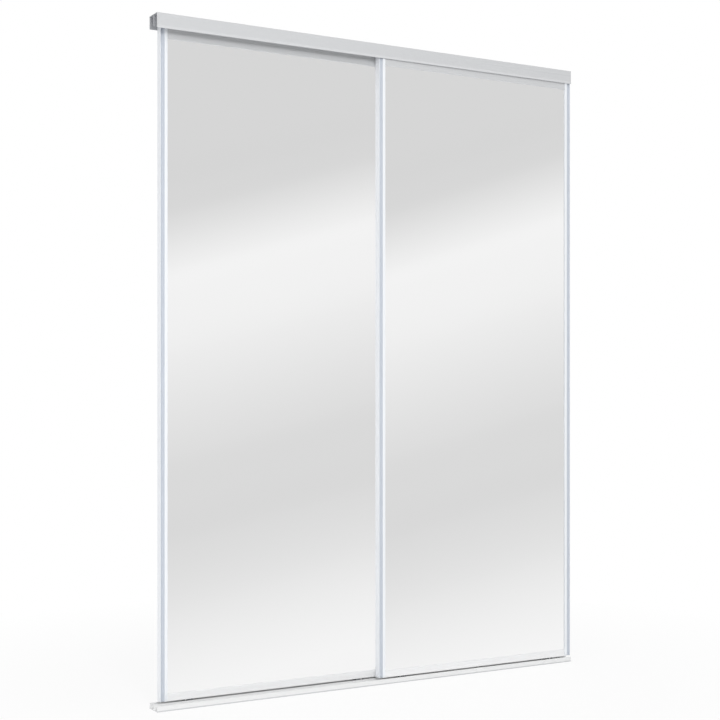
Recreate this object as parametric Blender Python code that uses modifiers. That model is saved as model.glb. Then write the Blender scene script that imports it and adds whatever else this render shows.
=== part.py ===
"""Two-panel mirrored sliding closet door: a top track, a bottom track and two framed mirror doors.

All sizes are in metres and +Z is up. The origin is on the floor at the middle of the bottom track, the
front faces -Y and the tracks run along X. The right door runs in the front lane, the left in the rear.
"""

import math

import bmesh
import bpy
from mathutils import Matrix, Vector

# Clearances between pieces
FIT = 0.0003  # between pieces that touch or run on each other
SHANK_FIT = 0.0003  # round a screw shank or an axle in its hole
HEAD_FIT = 0.0003  # under a screw head

# Tracks
TRACK_LENGTH = 1.524
OVERALL_HEIGHT = 2.045
TRACK_WALL = 0.0016
FASCIA_HEIGHT = 0.0445
MIDDLE_LEG_HEIGHT = 0.034
REAR_LEG_HEIGHT = 0.038
BEAD_HEIGHT = 0.005
BEAD_PROUD = 0.0008
CURB_HEIGHT = 0.0165
CURB_FOOT_HEIGHT = 0.003
RIB_THICKNESS = 0.0024
FIXING_HOLE_RADIUS = 0.0025
FIXING_HOLES = 4
FIXING_HOLE_INSET = 0.09

# Doors: overall
DOOR_DEPTH = 0.024
RUNNING_GAP = 0.002  # between a door and the legs of its lane
CURB_GAP = 0.004  # from the top of the curbs up to the doors
HEADROOM = 0.0214  # above the doors, so that they can be lifted in
END_GAP = 0.001  # from a closed door to the end of the tracks
CLOSED_OVERLAP = 0.0148  # of the two doors when both are closed
LEFT_DOOR_AJAR = 0.022  # how far the left door stands open
DOOR_LIFT = 0.0035  # height adjustment above the drawn height
DOOR_DROP = 0.0025  # height adjustment below the drawn height

# Door frame
WALL = 0.0015
LIP = 0.0016  # in front of the glazing slot
OUTER_LIP = 0.0015  # outside the finger groove
GROOVE_RADIUS = 0.006
SLOT_DEPTH = 0.008
RAIL_SET_BACK = 0.0004
TOP_RAIL_HEIGHT = 0.042
TOP_CHANNEL_DEPTH = 0.020
BOTTOM_RAIL_HEIGHT = 0.0215
PORT_WALL = 0.0012
PORT_SINK = 0.0026  # from the web down to the middle of the screw port
PORT_STAND_OFF = 0.0009  # from the slot's back wall to the screw port

# Mirror and glazing
GLASS_THICKNESS = 0.003
FILM_THICKNESS = 0.0005
STRIP_WALL = 0.001
STRIP_PROUD = 0.0008

# Top guides
GUIDE_LENGTH = 0.036
GUIDE_HEAD_HEIGHT = 0.008
GUIDE_FOOT_DEPTH = 0.012
GUIDE_INSET = 0.014  # from the stile to the guide

# Rollers
WHEEL_RADIUS = 0.011
WHEEL_WIDTH = 0.0072
WHEEL_GROOVE_DEPTH = 0.0022
WHEEL_GROOVE_FLARE = 0.0009
WHEEL_EDGE = 0.0005
HUB_RADIUS = 0.0048
HUB_RECESS = 0.0009
RIM_WALL = 0.0016
AXLE_RADIUS = 0.002
AXLE_HEAD_RADIUS = 0.0032
AXLE_HEAD_HEIGHT = 0.001
AXLE_DROP = 0.0042  # from the door's lower edge down to the axle
ROLLER_INSET = 0.060  # from the stile to the axle
CHEEK_THICKNESS = 0.0015
CHEEK_REACH = 0.010  # past the axle, away from the block
BLOCK_LENGTH = 0.0075
BLOCK_STAND_OFF = 0.0015  # from the wheel to the block
CARRIAGE_BELOW = 0.0048  # from the axle down to the fork's lower edge
CARRIAGE_ABOVE = 0.0107  # from the axle up to the fork's upper edge
EAR_THICKNESS = 0.0034
EAR_MARGIN = 0.0035  # from the clamp screw up to the top of the ear
CLAMP_RISE = 0.0075  # from the door's lower edge up to the clamp screw

# Screws
SHANK_RADIUS = 0.002
HEAD_RADIUS = 0.0038
HEAD_HEIGHT = 0.0024
HEAD_DOME = 0.0008
CORNER_GRIP = 0.022  # length of a corner screw inside the rail
CORNER_ACCESS_RADIUS = 0.0045
PLUG_SPIGOT = 0.0025  # length of a hole plug behind the stile's wall
PLUG_STEP = 0.0006  # from a hole plug's edge in to its spigot

# How finely round shapes are drawn
GROOVE_STEPS = 12
PORT_STEPS = 16
TURNED_STEPS = 16
WHEEL_STEPS = 32

# What follows from the sizes above
CHANNEL = DOOR_DEPTH + 2 * RUNNING_GAP
LANE = (CHANNEL + TRACK_WALL) / 2
TRACK_HALF_DEPTH = CHANNEL + 1.5 * TRACK_WALL
STACK = GLASS_THICKNESS + FIT + FILM_THICKNESS
STRIP_OUTER = STACK + 2 * FIT + 2 * STRIP_WALL
SLOT_WIDTH = STRIP_OUTER + 2 * FIT
STILE_WIDTH = OUTER_LIP + 2 * GROOVE_RADIUS + WALL + SLOT_DEPTH
DOOR_WIDTH = (TRACK_LENGTH - 2 * END_GAP + CLOSED_OVERLAP) / 2
DOOR_BOTTOM = CURB_HEIGHT + CURB_GAP
DOOR_TOP = OVERALL_HEIGHT - TRACK_WALL - HEADROOM
DOOR_HEIGHT = DOOR_TOP - DOOR_BOTTOM
HOLE_RADIUS = SHANK_RADIUS + SHANK_FIT
PORT_RADIUS = HOLE_RADIUS + PORT_WALL
WHEEL_ROOT = WHEEL_RADIUS - WHEEL_GROOVE_DEPTH
RIB_TOP = DOOR_BOTTOM - AXLE_DROP - WHEEL_ROOT - FIT

# Depths across a door, measured from its front face
SLOT_FRONT = LIP
SLOT_BACK = SLOT_FRONT + SLOT_WIDTH
STACK_FRONT = SLOT_FRONT + FIT + STRIP_WALL + FIT
PORT_DEPTH = SLOT_BACK + WALL + PORT_STAND_OFF + PORT_RADIUS
RAIL_FRONT = RAIL_SET_BACK
RAIL_BACK = DOOR_DEPTH - RAIL_SET_BACK
MID_DEPTH = DOOR_DEPTH / 2

# Heights of the screw ports and the glass edges, measured from a rail's edge on the glass side
PORT_FROM_GLASS_SIDE = WALL + PORT_SINK
GLASS_EDGE = SLOT_DEPTH - FIT - STRIP_WALL - FIT

ALONG_X = Matrix(((0, 0, 1), (1, 0, 0), (0, 1, 0))).to_4x4()
UPRIGHT = Matrix.Identity(4)


def clear_scene():
    for obj in list(bpy.data.objects):
        bpy.data.objects.remove(obj, do_unlink=True)


def new_collection(name):
    collection = bpy.data.collections.new(name)
    bpy.context.scene.collection.children.link(collection)
    return collection


def material(name, colour, roughness, metallic=0.0):
    made = bpy.data.materials.new(name)
    made.use_nodes = True
    shader = made.node_tree.nodes["Principled BSDF"]
    shader.inputs["Base Color"].default_value = (*colour, 1.0)
    shader.inputs["Roughness"].default_value = roughness
    shader.inputs["Metallic"].default_value = metallic
    return made


def arc(centre, radius, start, end, steps):
    """Points of an arc in degrees, both ends included."""
    points = []
    for step in range(steps + 1):
        turn = math.radians(start + (end - start) * step / steps)
        points.append((centre[0] + radius * math.cos(turn), centre[1] + radius * math.sin(turn)))
    return points


def circle(centre, radius, steps):
    return arc(centre, radius, 0, 360, steps)[:-1]


def mesh_from_outlines(name, outlines, length):
    """A section (first outline) and its hollows (the others), extruded along its own Z."""
    curve = bpy.data.curves.new(name, "CURVE")
    curve.dimensions = "2D"
    curve.fill_mode = "BOTH"
    curve.extrude = length / 2
    for outline in outlines:
        spline = curve.splines.new("POLY")
        spline.points.add(len(outline) - 1)
        for point, place in zip(spline.points, outline):
            point.co = (place[0], place[1], 0, 1)
        spline.use_cyclic_u = True
    guide = bpy.data.objects.new(name, curve)
    bpy.context.scene.collection.objects.link(guide)
    graph = bpy.context.evaluated_depsgraph_get()
    mesh = bpy.data.meshes.new_from_object(guide.evaluated_get(graph))
    bpy.data.objects.remove(guide)
    bpy.data.curves.remove(curve)
    return welded(mesh)


def welded(mesh):
    """The mesh with its caps joined to its sides and its faces pointing out."""
    weld_distance = 1e-6
    work = bmesh.new()
    work.from_mesh(mesh)
    bmesh.ops.remove_doubles(work, verts=work.verts, dist=weld_distance)
    bmesh.ops.recalc_face_normals(work, faces=work.faces)
    work.to_mesh(mesh)
    work.free()
    return mesh


def box_mesh(name, size):
    mesh = bpy.data.meshes.new(name)
    work = bmesh.new()
    bmesh.ops.create_cube(work, size=1.0, matrix=Matrix.Diagonal((*size, 1.0)))
    work.to_mesh(mesh)
    work.free()
    return mesh


def rod_mesh(name, radius, length, places=((0, 0, 0),)):
    """Cylinders along Z, each about the middle of its place."""
    mesh = bpy.data.meshes.new(name)
    work = bmesh.new()
    for place in places:
        bmesh.ops.create_cone(
            work,
            cap_ends=True,
            segments=TURNED_STEPS,
            radius1=radius,
            radius2=radius,
            depth=length,
            matrix=Matrix.Translation(Vector(place)),
        )
    work.to_mesh(mesh)
    work.free()
    return mesh


class Bench:
    """Puts objects into the door's collection, or into the cutters' one."""

    def __init__(self):
        self.parts = new_collection("mirrored_sliding_closet_door")
        self.cutters = new_collection("cutters")
        self.cutters.hide_render = True
        self.white = material("white_enamel", (0.80, 0.81, 0.83), 0.32)
        self.mirror = material("mirror_glass", (0.88, 0.89, 0.90), 0.03, 1.0)
        self.film = material("backing_film", (0.42, 0.44, 0.46), 0.6)
        self.vinyl = material("glazing_vinyl", (0.62, 0.64, 0.66), 0.5)
        self.nylon = material("nylon", (0.86, 0.86, 0.84), 0.45)
        self.grey_nylon = material("grey_nylon", (0.20, 0.21, 0.22), 0.5)
        self.steel = material("plated_steel", (0.66, 0.66, 0.67), 0.3, 1.0)

    def empty(self, name, place, parent=None):
        obj = bpy.data.objects.new(name, None)
        obj.location = place
        obj.parent = parent
        self.parts.objects.link(obj)
        return obj

    def part(self, name, mesh, finish, place=(0, 0, 0), turn=UPRIGHT, parent=None):
        obj = self.add(self.parts, name, mesh, place, turn, parent)
        if not obj.data.materials:
            obj.data.materials.append(finish)
        return obj

    def cutter(self, name, mesh, place=(0, 0, 0), turn=UPRIGHT, parent=None):
        obj = self.add(self.cutters, name, mesh, place, turn, parent)
        obj.hide_render = True
        obj.display_type = "WIRE"
        return obj

    def add(self, collection, name, mesh, place, turn, parent):
        obj = bpy.data.objects.new(name, mesh)
        obj.matrix_local = Matrix.Translation(Vector(place)) @ turn
        obj.parent = parent
        collection.objects.link(obj)
        return obj


def combine(obj, other, operation):
    modifier = obj.modifiers.new(f"{operation.lower()} {other.name}", "BOOLEAN")
    modifier.operation = operation
    modifier.solver = "EXACT"
    modifier.object = other


def turned(obj, steps):
    """Spins the object's profile about its own Z and shades it as a round piece."""
    modifier = obj.modifiers.new("spin", "SCREW")
    modifier.axis = "Z"
    modifier.steps = steps
    modifier.render_steps = steps
    modifier.use_merge_vertices = True
    modifier.merge_threshold = 1e-5
    modifier.use_smooth_shade = True


def profile_mesh(name, points, closed=False):
    """A profile in the XZ plane, for turning about Z: it runs down its outer side."""
    mesh = bpy.data.meshes.new(name)
    edges = [(i, i + 1) for i in range(len(points) - 1)]
    if closed:
        edges.append((len(points) - 1, 0))
    mesh.from_pydata([(radius, 0, height) for radius, height in points], edges, [])
    return mesh


# Directions that a turned piece's own +Z takes
FACING_X = Matrix.Rotation(math.radians(90), 4, "Y")
FACING_MINUS_X = Matrix.Rotation(math.radians(-90), 4, "Y")
FACING_Y = Matrix.Rotation(math.radians(-90), 4, "X")


def top_track_outline():
    """Section across the top track: x is the depth and y the height."""
    top = OVERALL_HEIGHT
    roof = top - TRACK_WALL
    front = -TRACK_HALF_DEPTH
    middle = TRACK_WALL / 2
    bead_low = top - FASCIA_HEIGHT
    return [
        (front, top),
        (front, bead_low + BEAD_HEIGHT),
        (front - BEAD_PROUD, bead_low + BEAD_HEIGHT - BEAD_PROUD),
        (front - BEAD_PROUD, bead_low + BEAD_PROUD),
        (front, bead_low),
        (front + TRACK_WALL, bead_low),
        (front + TRACK_WALL, roof),
        (-middle, roof),
        (-middle, top - MIDDLE_LEG_HEIGHT),
        (middle, top - MIDDLE_LEG_HEIGHT),
        (middle, roof),
        (-front - TRACK_WALL, roof),
        (-front - TRACK_WALL, top - REAR_LEG_HEIGHT),
        (-front, top - REAR_LEG_HEIGHT),
        (-front, top - BEAD_HEIGHT),
        (-front + BEAD_PROUD, top - BEAD_HEIGHT + BEAD_PROUD),
        (-front + BEAD_PROUD, top),
    ]


def bottom_track_outline():
    """Section across the bottom track: three curbs and a rib under each line of wheels."""
    edge = TRACK_HALF_DEPTH
    inner = edge - TRACK_WALL
    middle = TRACK_WALL / 2
    rib = RIB_THICKNESS / 2
    front_half = [
        (-edge - BEAD_PROUD, 0),
        (-edge - BEAD_PROUD, CURB_FOOT_HEIGHT),
        (-edge, CURB_FOOT_HEIGHT + BEAD_PROUD),
        (-edge, CURB_HEIGHT),
        (-inner, CURB_HEIGHT),
        (-inner, TRACK_WALL),
        (-LANE - rib, TRACK_WALL),
        (-LANE - rib, RIB_TOP),
        (-LANE + rib, RIB_TOP),
        (-LANE + rib, TRACK_WALL),
        (-middle, TRACK_WALL),
        (-middle, CURB_HEIGHT),
    ]
    return front_half + [(-depth, height) for depth, height in reversed(front_half)]


def drill_fixing_holes(bench, track, height, rows):
    """Screw holes through the track's flat web, in rows along it."""
    first = -TRACK_LENGTH / 2 + FIXING_HOLE_INSET
    step = (TRACK_LENGTH - 2 * FIXING_HOLE_INSET) / (FIXING_HOLES - 1)
    places = [(first + hole * step, depth, height) for depth in rows for hole in range(FIXING_HOLES)]
    mesh = rod_mesh(f"{track.name}_drills", FIXING_HOLE_RADIUS, 4 * TRACK_WALL, places)
    combine(track, bench.cutter(f"{track.name}_drills", mesh), "DIFFERENCE")


def make_tracks(bench):
    root = bench.empty("tracks", (0, 0, 0))
    section = mesh_from_outlines("top_track", [top_track_outline()], TRACK_LENGTH)
    top_track = bench.part("top_track", section, bench.white, turn=ALONG_X, parent=root)
    drill_fixing_holes(bench, top_track, OVERALL_HEIGHT - TRACK_WALL / 2, (-LANE, LANE))
    section = mesh_from_outlines("bottom_track", [bottom_track_outline()], TRACK_LENGTH)
    bottom_track = bench.part("bottom_track", section, bench.white, turn=ALONG_X, parent=root)
    drill_fixing_holes(bench, bottom_track, TRACK_WALL / 2, (-LANE / 2, LANE / 2))


def stile_outlines():
    """Section of a stile: x runs from its outer edge inwards and y from the front to the back."""
    groove = (OUTER_LIP + GROOVE_RADIUS, 0)
    slot_floor = STILE_WIDTH - SLOT_DEPTH
    outside = [(0, DOOR_DEPTH), (0, 0)]
    outside += arc(groove, GROOVE_RADIUS, 180, 0, GROOVE_STEPS)
    outside += [
        (STILE_WIDTH, 0),
        (STILE_WIDTH, SLOT_FRONT),
        (slot_floor, SLOT_FRONT),
        (slot_floor, SLOT_BACK),
        (STILE_WIDTH, SLOT_BACK),
        (STILE_WIDTH, DOOR_DEPTH),
    ]
    backed = GROOVE_RADIUS + WALL
    first = 180 - math.degrees(math.acos((groove[0] - WALL) / backed))
    last = 55
    hollow = arc(groove, backed, first, last, GROOVE_STEPS // 2)
    hollow += [
        (slot_floor - WALL, SLOT_BACK + WALL),
        (STILE_WIDTH - WALL, SLOT_BACK + WALL),
        (STILE_WIDTH - WALL, DOOR_DEPTH - WALL),
        (WALL, DOOR_DEPTH - WALL),
    ]
    return [outside, hollow]


def port_bulge(web):
    """The rounded underside of a screw port that hangs from a web, from back to front."""
    centre = (PORT_DEPTH, web - PORT_SINK)
    reach = math.degrees(math.asin(PORT_SINK / PORT_RADIUS))
    return arc(centre, PORT_RADIUS, reach, -180 - reach, PORT_STEPS // 2)


def bottom_rail_outlines():
    """Section of the bottom rail: x is the depth from the door's front, y the height."""
    high = BOTTOM_RAIL_HEIGHT
    slot = high - SLOT_DEPTH
    web = high - WALL
    outside = [
        (RAIL_FRONT, 0),
        (RAIL_FRONT, high),
        (SLOT_FRONT, high),
        (SLOT_FRONT, slot),
        (SLOT_BACK, slot),
        (SLOT_BACK, high),
        (RAIL_BACK, high),
        (RAIL_BACK, 0),
        (RAIL_BACK - WALL, 0),
        (RAIL_BACK - WALL, web),
    ]
    outside += port_bulge(web)
    outside += [
        (SLOT_BACK + WALL, web),
        (SLOT_BACK + WALL, slot - WALL),
        (RAIL_FRONT + WALL, slot - WALL),
        (RAIL_FRONT + WALL, 0),
    ]
    return [outside, circle((PORT_DEPTH, web - PORT_SINK), HOLE_RADIUS, PORT_STEPS)]


def top_rail_outlines():
    """Section of the top rail, with the height measured down from its upper edge."""
    high = TOP_RAIL_HEIGHT
    slot = high - SLOT_DEPTH
    web = high - WALL
    outside = [
        (RAIL_FRONT, 0),
        (RAIL_FRONT, high),
        (SLOT_FRONT, high),
        (SLOT_FRONT, slot),
        (SLOT_BACK, slot),
        (SLOT_BACK, high),
        (RAIL_BACK, high),
        (RAIL_BACK, 0),
        (RAIL_BACK - WALL, 0),
        (RAIL_BACK - WALL, TOP_CHANNEL_DEPTH),
        (RAIL_FRONT + WALL, TOP_CHANNEL_DEPTH),
        (RAIL_FRONT + WALL, 0),
    ]
    floor = TOP_CHANNEL_DEPTH + WALL
    hollow = [(RAIL_FRONT + WALL, floor), (RAIL_BACK - WALL, floor), (RAIL_BACK - WALL, web)]
    hollow += port_bulge(web)
    hollow += [
        (SLOT_BACK + WALL, web),
        (SLOT_BACK + WALL, slot - WALL),
        (RAIL_FRONT + WALL, slot - WALL),
    ]
    return [outside, hollow, circle((PORT_DEPTH, web - PORT_SINK), HOLE_RADIUS, PORT_STEPS)]


def placed(outlines, left=0.0, low=0.0, flip_x=1, flip_y=1):
    """Outlines moved, and turned over where a flip is -1."""
    return [[(left + flip_x * x, low + flip_y * y) for x, y in outline] for outline in outlines]


def strip_outline(length):
    """Section of a glazing strip: a channel with its base at y 0 and its legs upwards."""
    outer = STRIP_OUTER / 2
    inner = outer - STRIP_WALL
    return [
        (-outer, 0),
        (outer, 0),
        (outer, length),
        (inner, length),
        (inner, STRIP_WALL),
        (-inner, STRIP_WALL),
        (-inner, length),
        (-outer, length),
    ]


def screw_profile(shank_length):
    """A pan-head screw with its head's underside at height 0 and its shank below."""
    tip = SHANK_RADIUS / 2
    return [
        (0, HEAD_HEIGHT),
        (HEAD_RADIUS - HEAD_DOME, HEAD_HEIGHT),
        (HEAD_RADIUS, HEAD_HEIGHT - HEAD_DOME),
        (HEAD_RADIUS, 0),
        (SHANK_RADIUS, 0),
        (SHANK_RADIUS, -shank_length + tip),
        (SHANK_RADIUS - tip, -shank_length),
        (0, -shank_length),
    ]


def plug_profile():
    """A plug for a screw's access hole: a cap flush with the stile and a spigot behind it."""
    cap = CORNER_ACCESS_RADIUS - FIT
    spigot = cap - PLUG_STEP
    end = WALL + PLUG_SPIGOT
    return [(0, 0), (cap, 0), (cap, -WALL), (spigot, -WALL), (spigot, -end), (0, -end)]


def axle_profile(grip):
    """A riveted axle: a pin with a head outside each cheek."""
    half = grip / 2 + HEAD_FIT
    end = half + AXLE_HEAD_HEIGHT
    upper = [(0, end), (AXLE_HEAD_RADIUS, end), (AXLE_HEAD_RADIUS, half), (AXLE_RADIUS, half)]
    return upper + [(radius, -height) for radius, height in reversed(upper)]


def wheel_profile():
    """A grooved wheel with a recessed web on both faces, as a closed loop."""
    half = WHEEL_WIDTH / 2
    root = RIB_THICKNESS / 2 + FIT
    rim = WHEEL_ROOT - RIM_WALL
    web = half - HUB_RECESS
    bore = AXLE_RADIUS + SHANK_FIT
    upper = [
        (bore, half),
        (HUB_RADIUS, half),
        (HUB_RADIUS, web),
        (rim, web),
        (rim, half),
        (WHEEL_RADIUS - WHEEL_EDGE, half),
        (WHEEL_RADIUS, half - WHEEL_EDGE),
        (WHEEL_RADIUS, root + WHEEL_GROOVE_FLARE),
        (WHEEL_ROOT, root),
    ]
    return upper + [(radius, -height) for radius, height in reversed(upper)]


class Door:
    """One framed mirror door: x 0 is mid-width, y 0 its front face and z 0 its lower edge."""

    def __init__(self, bench, name, middle, lane):
        self.bench = bench
        self.name = name
        self.half = DOOR_WIDTH / 2
        self.panel = bench.empty(name, (middle, lane - MID_DEPTH, DOOR_BOTTOM))

    def part(self, name, mesh, finish, place=(0, 0, 0), turn=UPRIGHT, parent=None):
        full = f"{self.name}_{name}"
        return self.bench.part(full, mesh, finish, place, turn, parent or self.panel)

    def cutter(self, name, mesh, place, turn=UPRIGHT, parent=None):
        full = f"{self.name}_{name}"
        return self.bench.cutter(full, mesh, place, turn, parent or self.panel)

    def corner_heights(self):
        return {
            "bottom": BOTTOM_RAIL_HEIGHT - PORT_FROM_GLASS_SIDE,
            "top": DOOR_HEIGHT - TOP_RAIL_HEIGHT + PORT_FROM_GLASS_SIDE,
        }

    def make_stile(self, side, sign):
        outlines = placed(stile_outlines(), left=sign * self.half, flip_x=-sign)
        mesh = mesh_from_outlines(f"{self.name}_{side}_stile", outlines, DOOR_HEIGHT)
        stile = self.part(f"{side}_stile", mesh, self.bench.white, (0, 0, DOOR_HEIGHT / 2))
        inner = sign * (self.half - STILE_WIDTH + WALL / 2)
        outer = sign * (self.half - WALL / 2)
        for level, height in self.corner_heights().items():
            drills = (("access", CORNER_ACCESS_RADIUS, outer), ("shank", HOLE_RADIUS, inner))
            for use, radius, across in drills:
                drill = self.cutter(
                    f"{side}_{level}_{use}_drill",
                    rod_mesh("corner_drill", radius, 2 * WALL),
                    (across, PORT_DEPTH, height),
                    FACING_X,
                )
                combine(stile, drill, "DIFFERENCE")

    def make_rails(self):
        length = DOOR_WIDTH - 2 * STILE_WIDTH - 2 * FIT
        outlines = placed(top_rail_outlines(), low=DOOR_HEIGHT, flip_y=-1)
        mesh = mesh_from_outlines("top_rail", outlines, length)
        self.part("top_rail", mesh, self.bench.white, turn=ALONG_X)
        mesh = mesh_from_outlines("bottom_rail", bottom_rail_outlines(), length)
        rail = self.part("bottom_rail", mesh, self.bench.white, turn=ALONG_X)
        low = CLAMP_RISE - DOOR_LIFT
        high = CLAMP_RISE + DOOR_DROP
        slot = arc((0, high), HOLE_RADIUS, 0, 180, PORT_STEPS // 2)
        slot += arc((0, low), HOLE_RADIUS, 180, 360, PORT_STEPS // 2)
        upright = Matrix.Rotation(math.radians(90), 4, "X")
        for side, sign in (("left", -1), ("right", 1)):
            mesh = mesh_from_outlines("clamp_slot", [slot], 3 * WALL)
            place = (sign * self.clamp_offset(), RAIL_BACK - WALL / 2, 0)
            combine(rail, self.cutter(f"{side}_clamp_slot", mesh, place, upright), "DIFFERENCE")

    def make_glass(self):
        width = DOOR_WIDTH - 2 * (STILE_WIDTH - GLASS_EDGE)
        low = BOTTOM_RAIL_HEIGHT - GLASS_EDGE
        high = DOOR_HEIGHT - TOP_RAIL_HEIGHT + GLASS_EDGE
        height = high - low
        middle = (low + high) / 2
        front = STACK_FRONT + GLASS_THICKNESS / 2
        back = STACK_FRONT + GLASS_THICKNESS + FIT + FILM_THICKNESS / 2
        sheet = box_mesh("mirror", (width, GLASS_THICKNESS, height))
        self.part("mirror", sheet, self.bench.mirror, (0, front, middle))
        sheet = box_mesh("backing_film", (width, FILM_THICKNESS, height))
        self.part("backing_film", sheet, self.bench.film, (0, back, middle))
        self.make_strips(width, height, middle)

    def make_strips(self, width, height, middle):
        """Glazing strips: the side ones are as tall as the glass, the others fit between them."""
        depth = (SLOT_FRONT + SLOT_BACK) / 2
        leg = SLOT_DEPTH - FIT + STRIP_PROUD
        base = FIT + STRIP_WALL
        across = Matrix.Rotation(math.radians(90), 3, "Z").to_4x4()
        for side, sign in (("left", -1), ("right", 1)):
            mesh = mesh_from_outlines(f"{side}_strip", [strip_outline(leg)], height)
            place = (sign * (width / 2 + base), depth, middle)
            turn = across if sign > 0 else across.inverted()
            self.part(f"{side}_glazing_strip", mesh, self.bench.vinyl, place, turn)
        length = width - 2 * (leg - base) - 2 * FIT
        for level, sign in (("bottom", -1), ("top", 1)):
            outlines = placed([strip_outline(leg)], flip_y=-sign)
            mesh = mesh_from_outlines(f"{level}_strip", outlines, length)
            place = (0, depth, middle + sign * (height / 2 + base))
            self.part(f"{level}_glazing_strip", mesh, self.bench.vinyl, place, ALONG_X)

    def make_guides(self):
        """Shoes that plug into the top rail's channel and run between the legs of the top track."""
        head = CHANNEL / 2 - FIT
        foot = (RAIL_BACK - RAIL_FRONT) / 2 - WALL - FIT
        outline = [
            (-foot, -GUIDE_FOOT_DEPTH),
            (foot, -GUIDE_FOOT_DEPTH),
            (foot, FIT),
            (head, FIT),
            (head, FIT + GUIDE_HEAD_HEIGHT),
            (-head, FIT + GUIDE_HEAD_HEIGHT),
            (-head, FIT),
            (-foot, FIT),
        ]
        offset = self.half - STILE_WIDTH - GUIDE_INSET - GUIDE_LENGTH / 2
        for side, sign in (("left", -1), ("right", 1)):
            mesh = mesh_from_outlines(f"{side}_guide", [outline], GUIDE_LENGTH)
            place = (sign * offset, MID_DEPTH, DOOR_HEIGHT)
            self.part(f"{side}_top_guide", mesh, self.bench.nylon, place, ALONG_X)

    def axle_offset(self):
        return self.half - STILE_WIDTH - ROLLER_INSET

    def block_middle(self):
        """From the axle to the middle of the carriage's block, on the side away from the stile."""
        return WHEEL_RADIUS + BLOCK_STAND_OFF + BLOCK_LENGTH / 2

    def clamp_offset(self):
        return self.axle_offset() - self.block_middle()

    def make_roller(self, side, sign):
        """Carriage, wheel, axle and clamp screw, about the middle of the axle."""
        place = (sign * self.axle_offset(), MID_DEPTH, -AXLE_DROP)
        axle_point = self.bench.empty(f"{self.name}_{side}_roller", place, self.panel)
        bench = self.bench
        self.make_carriage(side, sign, axle_point)
        wheel = self.part(
            f"{side}_wheel",
            profile_mesh("wheel", wheel_profile(), closed=True),
            bench.nylon,
            turn=FACING_Y,
            parent=axle_point,
        )
        turned(wheel, WHEEL_STEPS)
        grip = WHEEL_WIDTH + 2 * FIT + 2 * CHEEK_THICKNESS
        pin = profile_mesh("axle", axle_profile(grip))
        axle = self.part(f"{side}_axle", pin, bench.steel, turn=FACING_Y, parent=axle_point)
        turned(axle, TURNED_STEPS)
        ear_front = self.ear_back() - EAR_THICKNESS
        seat = RAIL_BACK - MID_DEPTH + HEAD_FIT
        screw = self.part(
            f"{side}_clamp_screw",
            profile_mesh("clamp_screw", screw_profile(seat - ear_front)),
            bench.steel,
            (-sign * self.block_middle(), seat, AXLE_DROP + CLAMP_RISE),
            FACING_Y,
            axle_point,
        )
        turned(screw, TURNED_STEPS)

    def ear_back(self):
        """Depth of the carriage's back face from the axle: it runs against the rail's back wall."""
        return RAIL_BACK - WALL - FIT - MID_DEPTH

    def make_carriage(self, side, sign, axle_point):
        """A fork round the wheel, joined by a block between the rail's walls that has an ear."""
        inner = WHEEL_WIDTH / 2 + FIT
        outer = inner + CHEEK_THICKNESS
        near = WHEEL_RADIUS + BLOCK_STAND_OFF
        far = near + BLOCK_LENGTH
        front = RAIL_FRONT + WALL + FIT - MID_DEPTH
        back = self.ear_back()
        outline = [
            (-CHEEK_REACH, -outer),
            (near, -outer),
            (near, front),
            (far, front),
            (far, back),
            (near, back),
            (near, outer),
            (-CHEEK_REACH, outer),
            (-CHEEK_REACH, inner),
            (near, inner),
            (near, -inner),
            (-CHEEK_REACH, -inner),
        ]
        height = CARRIAGE_BELOW + CARRIAGE_ABOVE
        middle = (CARRIAGE_ABOVE - CARRIAGE_BELOW) / 2
        mesh = mesh_from_outlines(f"{side}_carriage", placed([outline], flip_x=-sign), height)
        place = (0, 0, middle)
        carriage = self.part(f"{side}_carriage", mesh, self.bench.grey_nylon, place, parent=axle_point)
        ear_top = AXLE_DROP + CLAMP_RISE + EAR_MARGIN
        ear_height = ear_top + CARRIAGE_BELOW
        ear_place = (
            -sign * self.block_middle(),
            back - EAR_THICKNESS / 2,
            ear_top - ear_height / 2,
        )
        mesh = box_mesh("ear", (BLOCK_LENGTH, EAR_THICKNESS, ear_height))
        ear = self.cutter(f"{side}_ear", mesh, ear_place, parent=axle_point)
        combine(carriage, ear, "UNION")
        bore = rod_mesh("axle_drill", AXLE_RADIUS + SHANK_FIT, 4 * outer)
        drill = self.cutter(f"{side}_axle_drill", bore, (0, 0, 0), FACING_Y, axle_point)
        combine(carriage, drill, "DIFFERENCE")
        bore = rod_mesh("clamp_drill", HOLE_RADIUS, 4 * EAR_THICKNESS)
        place = (-sign * self.block_middle(), back - EAR_THICKNESS / 2, AXLE_DROP + CLAMP_RISE)
        drill = self.cutter(f"{side}_clamp_drill", bore, place, FACING_Y, axle_point)
        combine(carriage, drill, "DIFFERENCE")

    def make_corner_screws(self, side, sign):
        """Screws that pull a stile onto the rails, and the plugs that close their access holes."""
        seat = sign * (self.half - STILE_WIDTH + WALL + HEAD_FIT)
        shank = HEAD_FIT + WALL + FIT + CORNER_GRIP
        facing = FACING_X if sign > 0 else FACING_MINUS_X
        for level, height in self.corner_heights().items():
            screw = self.part(
                f"{level}_{side}_corner_screw",
                profile_mesh("corner_screw", screw_profile(shank)),
                self.bench.steel,
                (seat, PORT_DEPTH, height),
                facing,
            )
            turned(screw, TURNED_STEPS)
            plug = self.part(
                f"{level}_{side}_hole_plug",
                profile_mesh("hole_plug", plug_profile()),
                self.bench.nylon,
                (sign * self.half, PORT_DEPTH, height),
                facing,
            )
            turned(plug, TURNED_STEPS)

    def make(self):
        self.make_rails()
        self.make_glass()
        self.make_guides()
        for side, sign in (("left", -1), ("right", 1)):
            self.make_stile(side, sign)
            self.make_corner_screws(side, sign)
            self.make_roller(side, sign)


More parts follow.
